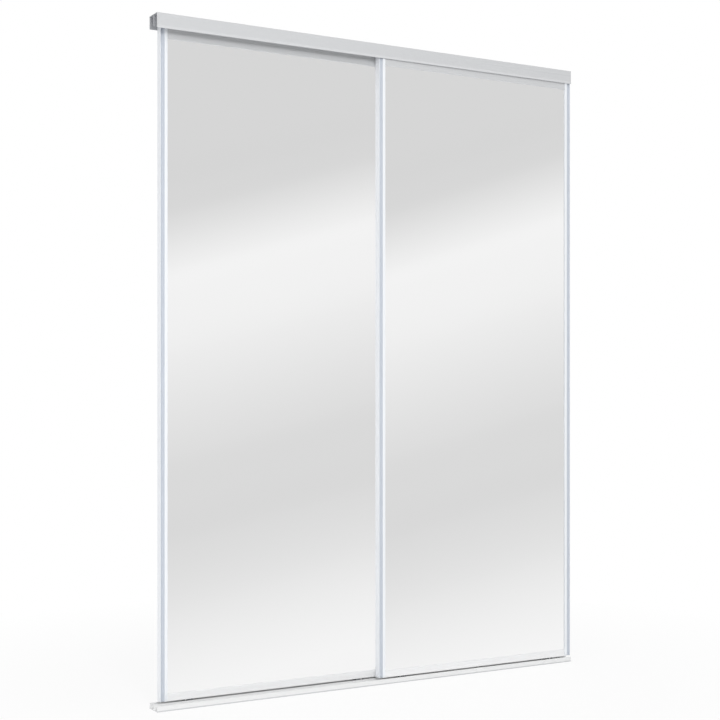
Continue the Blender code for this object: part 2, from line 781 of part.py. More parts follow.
def main():
    clear_scene()
    bench = Bench()
    make_tracks(bench)
    track_end = TRACK_LENGTH / 2 - END_GAP
    left_middle = -track_end + LEFT_DOOR_AJAR + DOOR_WIDTH / 2
    right_middle = track_end - DOOR_WIDTH / 2
    Door(bench, "left_door", left_middle, LANE).make()
    Door(bench, "right_door", right_middle, -LANE).make()


main()
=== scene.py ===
"""Dresses the packed closet door: enamelled extrusions, silvered glass, rollers and a plain studio.

Sizes are in metres and +Z is up. The front of the doors faces -Y, and the tracks run along X.
A section is a list of outlines, and an outline's corners are (across, up, rounding).
"""

import math
from contextlib import contextmanager

import bmesh
import bpy
from bpy.props import FloatProperty, FloatVectorProperty, IntProperty, PointerProperty
from mathutils import Matrix, Vector


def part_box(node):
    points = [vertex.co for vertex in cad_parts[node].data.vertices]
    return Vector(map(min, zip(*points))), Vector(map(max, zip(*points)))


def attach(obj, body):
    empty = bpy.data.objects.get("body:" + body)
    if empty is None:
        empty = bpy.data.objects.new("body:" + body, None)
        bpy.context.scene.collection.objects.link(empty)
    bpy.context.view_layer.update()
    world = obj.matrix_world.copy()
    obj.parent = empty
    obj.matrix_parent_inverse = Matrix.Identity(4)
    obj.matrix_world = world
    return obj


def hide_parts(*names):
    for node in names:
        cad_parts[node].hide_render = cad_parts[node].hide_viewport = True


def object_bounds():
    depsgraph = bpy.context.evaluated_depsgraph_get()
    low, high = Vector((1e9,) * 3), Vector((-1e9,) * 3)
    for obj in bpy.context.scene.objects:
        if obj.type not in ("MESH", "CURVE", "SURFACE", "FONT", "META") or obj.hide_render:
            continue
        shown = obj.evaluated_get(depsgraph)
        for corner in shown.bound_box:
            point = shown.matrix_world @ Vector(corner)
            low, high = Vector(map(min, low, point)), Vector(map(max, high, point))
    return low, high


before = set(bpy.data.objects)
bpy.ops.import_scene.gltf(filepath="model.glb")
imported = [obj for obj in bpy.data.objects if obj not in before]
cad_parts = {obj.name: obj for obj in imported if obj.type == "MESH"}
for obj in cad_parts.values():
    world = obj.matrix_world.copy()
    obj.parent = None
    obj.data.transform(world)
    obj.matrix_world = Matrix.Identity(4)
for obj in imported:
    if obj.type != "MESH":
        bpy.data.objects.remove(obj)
CAD_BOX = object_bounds()

bl_info = {
    "name": "Mirrored closet door",
    "version": (1, 0, 0),
    "blender": (4, 5, 0),
    "location": "View3D > Sidebar > Closet door",
    "description": "Makes the finished pieces of a mirrored closet door set on its packed frame",
    "category": "Object",
}

DOORS = ("left_door", "right_door")
SIDES = ("left", "right")
LEVELS = ("top", "bottom")

# Lays a section on the plane of Y and Z, to be drawn out along X
ALONG_X = Matrix(((0, 0, 1), (1, 0, 0), (0, 1, 0))).to_4x4()
FACING_X = Matrix.Rotation(math.radians(90), 4, "Y")  # turns Z to +X
FACING_BACK = Matrix.Rotation(math.radians(-90), 4, "X")  # turns Z to +Y
FACING_FRONT = Matrix.Rotation(math.radians(90), 4, "X")  # turns Z to -Y
CREASE = 0.00012  # rounding of a corner that looks sharp
LEAST_SEGMENTS = 3.0  # fewest segments of a rounded corner
SEGMENTS_A_METRE = 1800.0  # segments added for each metre of the corner's radius
TOUCHING = 1e-6  # points nearer than this are one
FLAT = math.radians(1)  # faces that meet flatter than this are one
SMOOTH_BELOW = math.radians(32)  # edges flatter than this are shaded as round
SOFT_ABOVE = math.radians(40)  # edges sharper than this are rounded on softened pieces
NOISE_SPAN = (0.3, 0.7)  # the values that most of a noise takes
# The front door's leading edge, which the rear mirror doesn't show
UNREFLECTED = (
    "right_door_left_stile",
    "right_door_left_glazing",
    "right_door_mirror",
    "right_door_backing_film",
    "right_door_hole_plugs",
    "right_door_corner_screws",
)


def number(name, description, default, **limits):
    """A number that a user can change."""
    return FloatProperty(name=name, description=description, default=default, **limits)


def size(name, description, default):
    """A length that a user can change."""
    return number(name, description, default, min=0.0, precision=5, unit="LENGTH")


def share(name, description, default):
    """A number from nought to one that a user can change."""
    return number(name, description, default, min=0.0, max=1.0, subtype="FACTOR")


def colour(name, description, default):
    """A colour that a user can change."""
    return FloatVectorProperty(
        name=name, description=description, default=default, min=0.0, max=1.0, subtype="COLOR"
    )


def position(name, description, default):
    """A place in the studio that a user can change."""
    return FloatVectorProperty(
        name=name, description=description, default=default, subtype="TRANSLATION", unit="LENGTH"
    )


class TrackSettings(bpy.types.PropertyGroup):
    """Sections and colours of the two tracks."""

    wall: size("Wall", "Thickness of the tracks' walls", 0.0016)
    middle_leg: size("Middle leg", "Height of the top track's middle leg", 0.034)
    rear_leg: size("Rear leg", "Height of the top track's rear leg", 0.038)
    bead: size("Bead height", "Height of the bead along the fascia's lower edge", 0.008)
    rear_bead: size("Rear bead", "Height of the bead along the rear leg's upper edge", 0.005)
    bead_proud: size("Bead proud", "How far the beads stand out", 0.0008)
    foot: size("Foot height", "Height of the foot along the bottom track", 0.003)
    rib: size("Rib thickness", "Thickness of the ribs that the wheels run on", 0.0024)
    rib_top: size("Rib height", "Height of the ribs above the floor", 0.0072)
    hole_radius: size("Hole radius", "Radius of the fixing holes", 0.0025)
    sink_radius: size("Countersink radius", "Radius of the fixing holes' countersinks", 0.0042)
    hole_inset: size("Hole inset", "From an end of a track to its first hole", 0.09)
    holes: IntProperty(name="Holes", description="Fixing holes in a row", default=4, min=2)
    enamel: colour("Track enamel", "Colour of the bottom track", (0.84, 0.845, 0.845))
    # The top track's own colour; the top rails use it as painted shade under the fascia, and the bottom
    # track's foot as a painted line of shade
    header_enamel: colour("Header enamel", "Colour of the top track and top rails", (0.597, 0.606, 0.618))
    # Painted shade inside the top track, darker than the header enamel, to deepen the shadow under the
    # fascia
    track_inside_shade: colour("Inside shade", "Colour inside the top track", (0.42, 0.43, 0.45))


class DoorSettings(bpy.types.PropertyGroup):
    """Sections and colours of the doors' frames, glass and glazing."""

    edge: size("Edge rounding", "Rounding of the frame's outer edges", 0.0004)
    outer_lip: size("Outer lip", "Width of the lip outside the finger groove", 0.0015)
    groove: size("Groove radius", "Radius of the half-round finger groove", 0.006)
    wall: size("Wall", "Thickness of the frame's walls", 0.0015)
    lip: size("Glazing lip", "Thickness of the lip in front of the glass", 0.0016)
    slot_depth: size("Slot depth", "How far the glazing slot goes into the frame", 0.008)
    slot_width: size("Slot width", "Width of the glazing slot", 0.007)
    cove: size("Cove depth", "Depth of the shallow cove along the rails' faces", 0.0010)
    channel: size("Guide channel", "Depth of the top rail's channel for the guides", 0.020)
    port: size("Port radius", "Outer radius of the screw ports in the rails", 0.0035)
    shank_hole: size("Shank hole", "Radius of the holes round the screw shanks", 0.0023)
    access_hole: size("Access hole", "Radius of the holes that the corner screws go in by", 0.0045)
    lift: size("Lift", "How far the doors can be raised", 0.0035)
    drop: size("Drop", "How far the doors can be lowered", 0.0025)
    strip: size("Strip wall", "Thickness of the glazing strips", 0.001)
    arris: size("Arris", "Width of the ground edge of the glass", 0.0004)
    # White enamel with a bluish cast painted in as a reflection of bluish surroundings
    enamel: colour("Frame enamel and reflected blue", "Colour of the stiles", (0.86, 0.885, 0.92))
    rail_enamel: colour("Rail enamel", "Colour of the bottom rails", (0.875, 0.88, 0.885))
    # Painted shade inside the finger grooves
    groove_shade: colour("Groove shade", "Colour inside the grooves", (0.60, 0.64, 0.70))
    silver: colour("Silvering", "Colour of the mirrors", (0.93, 0.93, 0.93))
    film: colour("Backing film", "Colour of the film on the back of the glass", (0.42, 0.44, 0.46))
    vinyl: colour("Glazing vinyl", "Colour of the glazing strips", (0.87, 0.885, 0.90))


class RollerSettings(bpy.types.PropertyGroup):
    """Details and colours of the rollers, guides, screws and plugs."""

    rim: size("Rim rounding", "Rounding of the wheels' rims", 0.0006)
    groove: size("Wheel groove", "Depth of the groove in the wheels", 0.0022)
    groove_floor: size("Groove floor", "Width of the wheel groove's floor", 0.003)
    flare: size("Groove flare", "How much wider the groove is at its mouth, each side", 0.0009)
    hub: size("Hub radius", "Radius of the wheels' hubs", 0.0048)
    recess: size("Recess", "Depth of the recess between hub and rim", 0.0009)
    bore: size("Bore radius", "Radius of the wheels' bores", 0.0023)
    axle: size("Axle radius", "Radius of the axles", 0.002)
    soften: size("Mould rounding", "Rounding of the moulded pieces' edges", 0.0004)
    shank: size("Shank radius", "Radius of the screws' shanks", 0.002)
    head: size("Head height", "Height of the screws' heads", 0.0024)
    pitch: size("Thread pitch", "From one thread to the next", 0.0014)
    drive: size("Drive width", "Width of the cross recess in the screws' heads", 0.0011)
    plug_cap: size("Plug cap", "Thickness of the hole plugs' caps", 0.0015)
    nylon: colour("Nylon", "Colour of the wheels and guides", (0.80, 0.80, 0.78))
    grey_nylon: colour("Grey nylon", "Colour of the carriages", (0.20, 0.21, 0.22))
    steel: colour("Plated steel", "Colour of the screws and axles", (0.66, 0.66, 0.67))


class StageSettings(bpy.types.PropertyGroup):
    """Camera, lamps and what the mirrors see."""

    eye: position("Camera place", "Where the camera stands", (-2.2508, -3.8272, 0.9467))
    turn: number("Camera turn", "The camera's turn to the right", math.radians(29.759), subtype="ANGLE")
    lens: number("Lens", "Focal length in millimetres", 69.13, min=1.0, unit="CAMERA")
    rise: number("Rise", "Upward shift of the lens", 0.0391)
    key: number("Key lamp", "Power of the lamp in front", 70.0, min=0.0, unit="POWER")
    key_place: position("Key place", "Where the lamp in front hangs", (-1.4, -5.0, 2.8))
    key_width: size("Key width", "Width of the lamp in front", 1.2)
    fill: number("Fill lamp", "Power of the lamp on the left", 20.0, min=0.0, unit="POWER")
    fill_place: position("Fill place", "Where the lamp on the left stands", (-3.2, -1.6, 0.35))
    fill_width: size("Fill width", "Width of the lamp on the left", 1.8)
    sky: share("Sky", "Brightness of the light from above", 0.80)
    ground: share("Ground", "Brightness of the light from below", 0.50)
    ceiling: number("Ceiling", "Brightness of the ceiling light in the enamel's gloss", 2.3, min=0.0)
    slant: number("Slant", "Slope of each studio panel's bands, up to the right", 0.043)


class ClosetDoorSettings(bpy.types.PropertyGroup):
    """All that a user can change on the closet door."""

    tracks: PointerProperty(name="Tracks", description="The two tracks", type=TrackSettings)
    doors: PointerProperty(name="Doors", description="The two framed mirrors", type=DoorSettings)
    rollers: PointerProperty(name="Rollers", description="Rollers, guides, screws", type=RollerSettings)
    stage: PointerProperty(name="Stage", description="Camera and light", type=StageSettings)


def settings():
    return bpy.context.scene.closet_door


class NodeDesk:
    """Adds nodes to a node tree and sets or wires their inputs."""

    def __init__(self, tree):
        self.tree = tree

    def feed(self, node, inputs):
        """Wires each input to the socket given for it, or sets it to the value given."""
        for key, value in inputs.items():
            if isinstance(value, bpy.types.NodeSocket):
                self.tree.links.new(value, node.inputs[key])
            else:
                node.inputs[key].default_value = value

    def add(self, kind, inputs=None, **options):
        node = self.tree.nodes.new(kind)
        for name, value in options.items():
            setattr(node, name, value)
        self.feed(node, inputs or {})
        return node

    def out(self, kind, inputs=None, output=0, **options):
        """An output of a new node."""
        return self.add(kind, inputs, **options).outputs[output]

    def math(self, operation, *values):
        return self.out("ShaderNodeMath", dict(enumerate(values)), operation=operation)

    def dot(self, vector, axis):
        return self.out("ShaderNodeVectorMath", {0: vector, 1: axis}, "Value", operation="DOT_PRODUCT")

    def between(self, value, low, high, to_low, to_high):
        """A value carried from one span to another, and held at its ends."""
        spans = {"From Min": low, "From Max": high, "To Min": to_low, "To Max": to_high}
        return self.out("ShaderNodeMapRange", {"Value": value, **spans}, "Result")

    def noise(self, scale, detail=2.0, stretch=(1, 1, 1)):
        """Noise on the piece's own coordinates, in features a metre."""
        place = self.out("ShaderNodeTexCoord", output="Object")
        mapped = self.out("ShaderNodeMapping", {"Vector": place, "Scale": stretch})
        return self.out("ShaderNodeTexNoise", {"Vector": mapped, "Scale": scale, "Detail": detail}, "Fac")

    def blend(self, factor, first, second):
        """A colour between two others."""
        return self.out("ShaderNodeMix", {"Factor": factor, 6: first, 7: second}, 2, data_type="RGBA")

    def tint(self, cloud, tone, spread):
        """A colour that is darker and lighter in clouds."""
        return self.blend(cloud, opaque(tone, 1 - spread), opaque(tone, 1 + spread))

    def rough(self, cloud, low, high):
        """A roughness between two others, in clouds."""
        return self.between(cloud, *NOISE_SPAN, low, high)

    def bump(self, height, strength, distance, **below):
        """A relief, over another one if its Normal is given."""
        relief = {"Height": height, "Strength": strength, "Distance": distance}
        return self.out("ShaderNodeBump", {**relief, **below})

    def hand_over(self, geometry, finish):
        """The end of a geometry node group: real geometry with its finish."""
        real = self.out("GeometryNodeRealizeInstances", {"Geometry": geometry})
        painted = self.out("GeometryNodeSetMaterial", {"Geometry": real, "Material": finish})
        self.add("NodeGroupOutput", {0: painted})


def opaque(tone, factor=1.0):
    """A colour with its alpha, made darker or lighter."""
    return (*(min(1.0, channel * factor) for channel in tone), 1.0)


def grey(level):
    return (level, level, level, 1.0)


def new_finish(name):
    """A material with a desk for its nodes and its shader."""
    finish = bpy.data.materials.new(name)
    finish.use_nodes = True
    return finish, NodeDesk(finish.node_tree), finish.node_tree.nodes["Principled BSDF"]


def enamel_finish(name, tone, draw, shade_tone=None):
    """Baked enamel on an extrusion: drawing lines along it, a little orange peel, slight unevenness, and a
    darker tone painted as shade where the mesh is marked.
    """
    finish, desk, shader = new_finish(name)
    paint = desk.tint(desk.noise(2.5, 3.0), tone, 0.015)
    # Painted shade: where the mesh is marked, the paint turns to the darker shade tone
    if shade_tone:
        hollow = desk.out("ShaderNodeAttribute", output="Fac", attribute_name="painted_shade")
        paint = desk.blend(hollow, paint, opaque(shade_tone))
    lines = desk.bump(desk.noise(700.0, 1.0, draw), 0.05, 0.0002)
    look = {
        "Base Color": paint,
        "Roughness": desk.rough(desk.noise(30.0, 2.0, draw), 0.24, 0.34),
        "Normal": desk.bump(desk.noise(420.0), 0.06, 0.0003, Normal=lines),
        "Coat Weight": 0.25,
        "Coat Roughness": 0.12,
    }
    desk.feed(shader, look)
    return finish


def silvered_finish(name, tone):
    """Silvered glass: a clean mirror with the faintest unevenness in its polish."""
    finish, desk, shader = new_finish(name)
    silver = desk.tint(desk.noise(1.7), tone, 0.005)
    polish = desk.between(desk.noise(9.0), 0.35, 0.75, 0.010, 0.022)
    desk.feed(shader, {"Base Color": silver, "Roughness": polish, "Metallic": 1.0})
    return finish


def film_finish(name, tone):
    """Safety film stuck over the paint of the mirror's back: soft mottling and fine dimples."""
    finish, desk, shader = new_finish(name)
    mottle = desk.noise(14.0, 4.0)
    ripple = desk.bump(desk.noise(22.0, 3.0), 0.25, 0.0006)
    look = {
        "Base Color": desk.tint(mottle, tone, 0.10),
        "Roughness": desk.rough(mottle, 0.46, 0.62),
        "Normal": desk.bump(desk.noise(900.0, 1.0), 0.15, 0.0002, Normal=ripple),
    }
    desk.feed(shader, look)
    return finish


def moulded_finish(name, tone, low, high, scatter=0.0):
    """Moulded plastic: a fine eroded skin with slight flow marks."""
    finish, desk, shader = new_finish(name)
    flow = desk.noise(60.0, 3.0)
    look = {
        "Base Color": desk.tint(flow, tone, 0.06),
        "Roughness": desk.rough(flow, low, high),
        "Normal": desk.bump(desk.noise(2600.0), 0.22, 0.0001),
        "Subsurface Weight": scatter,
        "Subsurface Radius": (0.002, 0.002, 0.0015),
    }
    desk.feed(shader, look)
    return finish


def plated_finish(name, tone):
    """Zinc-plated steel: a pale bluish metal with faint straw clouds and fine turning marks."""
    finish, desk, shader = new_finish(name)
    red, green, blue = tone
    straw, cool = (red * 1.06, green, blue * 0.90), (red * 0.94, green * 0.98, blue * 1.06)
    look = {
        "Base Color": desk.blend(desk.noise(180.0), opaque(straw), opaque(cool)),
        "Roughness": desk.rough(desk.noise(700.0), 0.24, 0.40),
        "Normal": desk.bump(desk.noise(2200.0, 1.0), 0.12, 0.0001),
        "Metallic": 1.0,
    }
    desk.feed(shader, look)
    return finish


def finish_of(name):
    """The named finish, made the first time that a piece asks for it."""
    if name in bpy.data.materials:
        return bpy.data.materials[name]
    tracks, doors, rollers = settings().tracks, settings().doors, settings().rollers
    upright, lengthways = (1, 1, 0.01), (0.01, 1, 1)
    # Enamels: colour, direction of the drawing lines, colour of the shade painted where the mesh is marked
    # Mouldings: colour, least and greatest roughness, share of light scattered inside
    makers = {
        "track_enamel": (enamel_finish, tracks.enamel, lengthways, tracks.header_enamel),
        "header_enamel": (enamel_finish, tracks.header_enamel, lengthways, tracks.track_inside_shade),
        "stile_enamel": (enamel_finish, doors.enamel, upright, doors.groove_shade),
        "rail_enamel": (enamel_finish, doors.rail_enamel, lengthways),
        "silvered_glass": (silvered_finish, doors.silver),
        "safety_film": (film_finish, doors.film),
        "glazing_strip_vinyl": (moulded_finish, doors.vinyl, 0.40, 0.55),
        "white_nylon": (moulded_finish, rollers.nylon, 0.38, 0.52, 0.15),
        "plug_nylon": (moulded_finish, doors.enamel, 0.30, 0.42),
        "carriage_nylon": (moulded_finish, rollers.grey_nylon, 0.42, 0.58),
        "zinc_plate": (plated_finish, rollers.steel),
    }
    make, *look = makers[name]
    return make(name, *look)


def new_group(name, inputs, output):
    """A desk with a new geometry node group that has these inputs, by name and kind, and one output."""
    tree = bpy.data.node_groups.new(name, "GeometryNodeTree")
    for label, kind in inputs.items():
        tree.interface.new_socket(label, in_out="INPUT", socket_type=f"NodeSocket{kind}")
    tree.interface.new_socket(output, in_out="OUTPUT", socket_type="NodeSocketGeometry")
    return NodeDesk(tree)


def extrusion_group():
    """Geometry nodes that round a section's corners, each by its own radius, and draw it out."""
    name = "Extruded section"
    if name in bpy.data.node_groups:
        return bpy.data.node_groups[name]
    desk = new_group(name, {"Section": "Geometry", "Length": "Float", "Finish": "Material"}, "Extrusion")
    given = desk.add("NodeGroupInput").outputs
    radius = desk.out("GeometryNodeInputRadius")
    segments = desk.math("MULTIPLY_ADD", radius, SEGMENTS_A_METRE, LEAST_SEGMENTS)
    corners = {"Curve": given["Section"], "Radius": radius, "Count": segments, "Limit Radius": True}
    rounded = desk.out("GeometryNodeFilletCurve", corners, mode="POLY")
    face = desk.out("GeometryNodeFillCurve", {"Curve": rounded}, mode="NGONS")
    reach = desk.out("ShaderNodeCombineXYZ", {"Z": given["Length"]})
    drawing = {"Mesh": face, "Offset": reach, "Individual": False}
    drawn = desk.out("GeometryNodeExtrudeMesh", drawing, mode="FACES")
    whole = desk.add("GeometryNodeJoinGeometry", {"Geometry": drawn})
    desk.feed(whole, {"Geometry": desk.out("GeometryNodeFlipFaces", {"Mesh": face})})
    merging = {"Geometry": whole.outputs["Geometry"], "Distance": TOUCHING}
    desk.hand_over(desk.out("GeometryNodeMergeByDistance", merging), given["Finish"])
    return desk.tree


def fittings_group():
    """Geometry nodes that set a fitting on each point, turned to the point's facing."""
    name = "Fittings in place"
    if name in bpy.data.node_groups:
        return bpy.data.node_groups[name]
    desk = new_group(name, {"Seats": "Geometry", "Fitting": "Object", "Finish": "Material"}, "Fittings")
    given = desk.add("NodeGroupInput").outputs
    fitting = desk.out("GeometryNodeObjectInfo", {"Object": given["Fitting"]}, "Geometry")
    named = {"Name": "facing"}
    facing = desk.out("GeometryNodeInputNamedAttribute", named, "Attribute", data_type="FLOAT_VECTOR")
    turn = desk.out("FunctionNodeAlignRotationToVector", {"Vector": facing}, axis="Z")
    seating = {"Points": given["Seats"], "Instance": fitting, "Rotation": turn}
    desk.hand_over(desk.out("GeometryNodeInstanceOnPoints", seating), given["Finish"])
    return desk.tree


def on_bench(name, data):
    """An object in the scene."""
    obj = bpy.data.objects.new(name, data)
    bpy.context.scene.collection.objects.link(obj)
    return obj


def shaped(name, data, kind, inputs=None, **options):
    """What one modifier makes of a mesh or a curve, as a plain mesh; inputs are those of its node group."""
    blank = bpy.data.objects.new(name, data)
    modifier = blank.modifiers.new(kind, kind)
    for option, value in options.items():
        setattr(modifier, option, value)
    for label, value in (inputs or {}).items():
        socket = modifier.node_group.interface.items_tree[label]
        modifier[socket.identifier] = value
    bpy.context.scene.collection.objects.link(blank)
    graph = bpy.context.evaluated_depsgraph_get()
    mesh = bpy.data.meshes.new_from_object(blank.evaluated_get(graph))
    bpy.data.objects.remove(blank)
    return mesh


def finished(name, mesh, body, nodes, finish):
    """Shades a mesh, gives it its finish and puts it in place of its CAD nodes."""
    mesh.materials.clear()
    mesh.materials.append(finish_of(finish))
    mesh.shade_smooth()
    mesh.set_sharp_from_angle(angle=SMOOTH_BELOW)
    mesh = shaped(name, mesh, "WEIGHTED_NORMAL", keep_sharp=True)
    mesh.name = name
    piece = on_bench(name, mesh)
    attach(piece, body)
    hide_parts(*nodes)
    piece.visible_glossy = not name.startswith(UNREFLECTED)


@contextmanager
def opened(mesh):
    """A mesh opened for work, which closes with what was done to it."""
    work = bmesh.new()
    work.from_mesh(mesh)
    yield work
    work.to_mesh(mesh)
    work.free()


def outward(mesh):
    """Merges doubles and points all faces out."""
    with opened(mesh) as work:
        bmesh.ops.remove_doubles(work, verts=work.verts, dist=TOUCHING)
        bmesh.ops.recalc_face_normals(work, faces=work.faces)


def drawn_out(name, section, length, place, finish):
    """A section drawn out by a length."""
    curve = bpy.data.curves.new(name, "CURVE")
    curve.dimensions = "3D"
    for corners in section:
        spline = curve.splines.new("POLY")
        spline.points.add(len(corners) - 1)
        spline.use_cyclic_u = True
        for point, (across, up, rounding) in zip(spline.points, corners):
            point.co = (across, up, 0, 1)
            point.radius = rounding
    inputs = {"Length": length, "Finish": finish_of(finish)}
    mesh = shaped(name, curve, "NODES", inputs, node_group=extrusion_group())
    bpy.data.curves.remove(curve)
    mesh.transform(place)
    outward(mesh)
    return mesh


def extruded(node, section, finish):
    """A section drawn out along its CAD node, which stands along Z or lies along X."""
    low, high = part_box(node)
    if high.z - low.z > high.x - low.x:
        return drawn_out(node, section, high.z - low.z, Matrix.Translation((0, 0, low.z)), finish)
    return drawn_out(node, section, high.x - low.x, Matrix.Translation((low.x, 0, 0)) @ ALONG_X, finish)


def turned(name, profile, steps, place=Matrix.Identity(4)):
    """A profile of (radius, height) points spun about Z."""
    mesh = bpy.data.meshes.new(name)
    with opened(mesh) as work:
        points = [work.verts.new((radius, 0, height)) for radius, height in profile]
        edges = [work.edges.new(pair) for pair in zip(points, points[1:])]
        spin = {"cent": (0, 0, 0), "axis": (0, 0, 1), "angle": math.tau, "steps": steps}
        bmesh.ops.spin(work, geom=points + edges, use_merge=True, **spin)
    outward(mesh)
    mesh.transform(place)
    return mesh


def joined(name, meshes):
    """Several meshes as one."""
    whole = bpy.data.meshes.new(name)
    with opened(whole) as work:
        for mesh in meshes:
            work.from_mesh(mesh)
    return whole


def bored(mesh, cutter):
    """The mesh with another one cut out of it."""
    tool = on_bench("tool", cutter)
    result = shaped("blank", mesh, "BOOLEAN", operation="DIFFERENCE", solver="EXACT", object=tool)
    bpy.data.objects.remove(tool)
    return result


def softened(node, width):
    """A copy of a CAD node's solid with its edges rounded."""
    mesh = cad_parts[node].data.copy()
    with opened(mesh) as work:
        bmesh.ops.remove_doubles(work, verts=work.verts, dist=TOUCHING)
        bmesh.ops.dissolve_limit(work, angle_limit=FLAT, verts=work.verts, edges=work.edges)
    limit = {"limit_method": "ANGLE", "angle_limit": SOFT_ABOVE}
    return shaped(node, mesh, "BEVEL", width=width, segments=3, **limit)


def mark_painted_shade(mesh, gets_shade):
    """Marks the points that get painted shade: those in hollows and on the bottom track's foot."""
    marks = mesh.attributes.new("painted_shade", "FLOAT", "POINT")
    for mark, vertex in zip(marks.data, mesh.vertices):
        mark.value = 1.0 if gets_shade(vertex.co) else 0.0


def middle(node):
    low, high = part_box(node)
    return (low + high) / 2


def outer_edge(node, place):
    """Where a piece at a door's left, right, top or bottom begins, and its direction inwards."""
    low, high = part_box(node)
    axis = 0 if place in SIDES else 2
    return (low[axis], 1) if place in ("left", "bottom") else (high[axis], -1)


def turned_size(node, axis):
    """Radius and length of a turned piece that lies along X (0) or Y (1)."""
    low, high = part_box(node)
    return (high.z - low.z) / 2, high[axis] - low[axis]


def round_hole(across, up, radius):
    """A circle as a square whose corners are rounded all the way."""
    return [
        (across - radius, up - radius, radius),
        (across + radius, up - radius, radius),
        (across + radius, up + radius, radius),
        (across - radius, up + radius, radius),
    ]


def top_track_outline(track, low, high):
    """The top track: fascia, middle leg and rear leg under a flat web."""
    wall, proud, edge = track.wall, track.bead_proud, track.wall / 4
    front, back = low.y + proud, high.y - proud
    roof, half = high.z - wall, wall / 2
    return [
        (front, high.z, edge),
        (front, low.z + track.bead, CREASE),
        (front - proud, low.z + proud, proud / 2),
        (front - proud, low.z, proud / 2),
        (front + wall, low.z, edge),
        (front + wall, roof, edge),
        (-half, roof, edge),
        (-half, high.z - track.middle_leg, edge),
        (half, high.z - track.middle_leg, edge),
        (half, roof, edge),
        (back - wall, roof, edge),
        (back - wall, high.z - track.rear_leg, edge),
        (back, high.z - track.rear_leg, edge),
        (back, high.z - track.rear_bead, CREASE),
        (back + proud, high.z - track.rear_bead + proud, proud / 2),
        (back + proud, high.z, proud / 2),
    ]


def bottom_track_outline(track, high, lane):
    """The bottom track: three curbs and a rib under each line of wheels."""
    wall, proud, edge = track.wall, track.bead_proud, track.wall / 4
    outer, half, rib = high.y - proud, wall / 2, track.rib / 2
    crown = rib * 0.8
    rear = [
        (half, high.z, edge),
        (half, wall, edge),
        (lane - rib, wall, edge),
        (lane - rib, track.rib_top, crown),
        (lane + rib, track.rib_top, crown),
        (lane + rib, wall, edge),
        (outer - wall, wall, edge),
        (outer - wall, high.z, edge),
        (outer, high.z, edge),
        (outer, track.foot + proud, CREASE),
        (outer + proud, track.foot, proud / 2),
        (outer + proud, 0, CREASE),
    ]
    return [(-across, up, rounding) for across, up, rounding in reversed(rear)] + rear


def fixing_drills(track, low, high, rows, web_low, opens_up):
    """Countersunk drills for the fixing holes; the countersink is on the side that the screw goes in."""
    first = low.x + track.hole_inset
    step = (high.x - low.x - 2 * track.hole_inset) / (track.holes - 1)
    wall, past = track.wall, track.wall
    sink = track.sink_radius - track.hole_radius
    cone_low, cone_high = wall - sink * 0.7, wall + sink * 0.1
    profile = [
        (0, -past),
        (track.hole_radius, -past),
        (track.hole_radius, cone_low),
        (track.sink_radius, cone_high),
        (track.sink_radius, wall + past),
        (0, wall + past),
    ]
    over = Matrix.Identity(4) if opens_up else Matrix.Rotation(math.pi, 4, "X")
    seat = web_low if opens_up else web_low + wall
    drills = []
    for depth in rows:
        for hole in range(track.holes):
            place = Matrix.Translation((first + hole * step, depth, seat)) @ over
            drills.append(turned("drill", profile, steps=28, place=place))
    return joined("fixing_drills", drills)


class CLOSET_OT_make_tracks(bpy.types.Operator):
    """Make the top track and the bottom track"""

    bl_idname = "closet.make_tracks"
    bl_label = "Make tracks"

    def execute(self, context):
        track = settings().tracks
        lane = middle("left_door_left_wheel").y
        low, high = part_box("top_track")
        outline = top_track_outline(track, low, high)
        drills = fixing_drills(track, low, high, (-lane, lane), high.z - track.wall, False)
        inside, under = high.y - track.bead_proud - track.wall / 2, high.z - track.wall / 2
        mesh = bored(extruded("top_track", [outline], "header_enamel"), drills)
        # Paints shade inside the top track, under its web
        mark_painted_shade(mesh, lambda at: abs(at.y) < inside and at.z < under)
        finished("top_track_extrusion", mesh, "tracks", ["top_track"], "header_enamel")
        low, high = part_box("bottom_track")
        outline = bottom_track_outline(track, high, lane)
        drills = fixing_drills(track, low, high, (-lane / 2, lane / 2), low.z, True)
        upright = high.y - track.bead_proud / 2
        mesh = bored(extruded("bottom_track", [outline], "track_enamel"), drills)
        # Paints a line of shade along the bottom track's foot, where it meets the floor
        mark_painted_shade(mesh, lambda at: abs(at.y) > upright)
        finished("bottom_track_extrusion", mesh, "tracks", ["bottom_track"], "track_enamel")
        return {"FINISHED"}


def stile_section(door, width, depth):
    """Section of a stile: across runs from its outer edge inwards, up from the front to the back."""
    edge, wall = door.edge, door.wall
    far = door.outer_lip + 2 * door.groove
    bowl = door.groove - edge
    slot_floor = width - door.slot_depth
    slot_back = door.lip + door.slot_width
    outside = [
        (0, depth, edge),
        (0, 0, edge),
        (door.outer_lip, 0, edge),
        (door.outer_lip, door.groove, bowl),
        (far, door.groove, bowl),
        (far, 0, edge),
        (width, 0, edge),
        (width, door.lip, CREASE),
        (slot_floor, door.lip, CREASE),
        (slot_floor, slot_back, CREASE),
        (width, slot_back, CREASE),
        (width, depth, edge),
    ]
    behind = door.groove + wall
    # The hollow goes round the back of the groove and of the glazing slot
    hollow = [
        (wall, depth - wall, edge),
        (wall, behind * 0.6, edge),
        (wall * 1.5, behind, bowl * 0.7),
        (far - 2 * wall, behind, bowl * 0.4),
        (slot_floor - wall, slot_back + wall, edge),
        (width - wall, slot_back + wall, edge),
        (width - wall, depth - wall, edge),
    ]
    return [outside, hollow]


GROOVE_SKIN = (0.08, 1.02)  # depths that count as inside a groove, as shares of its radius


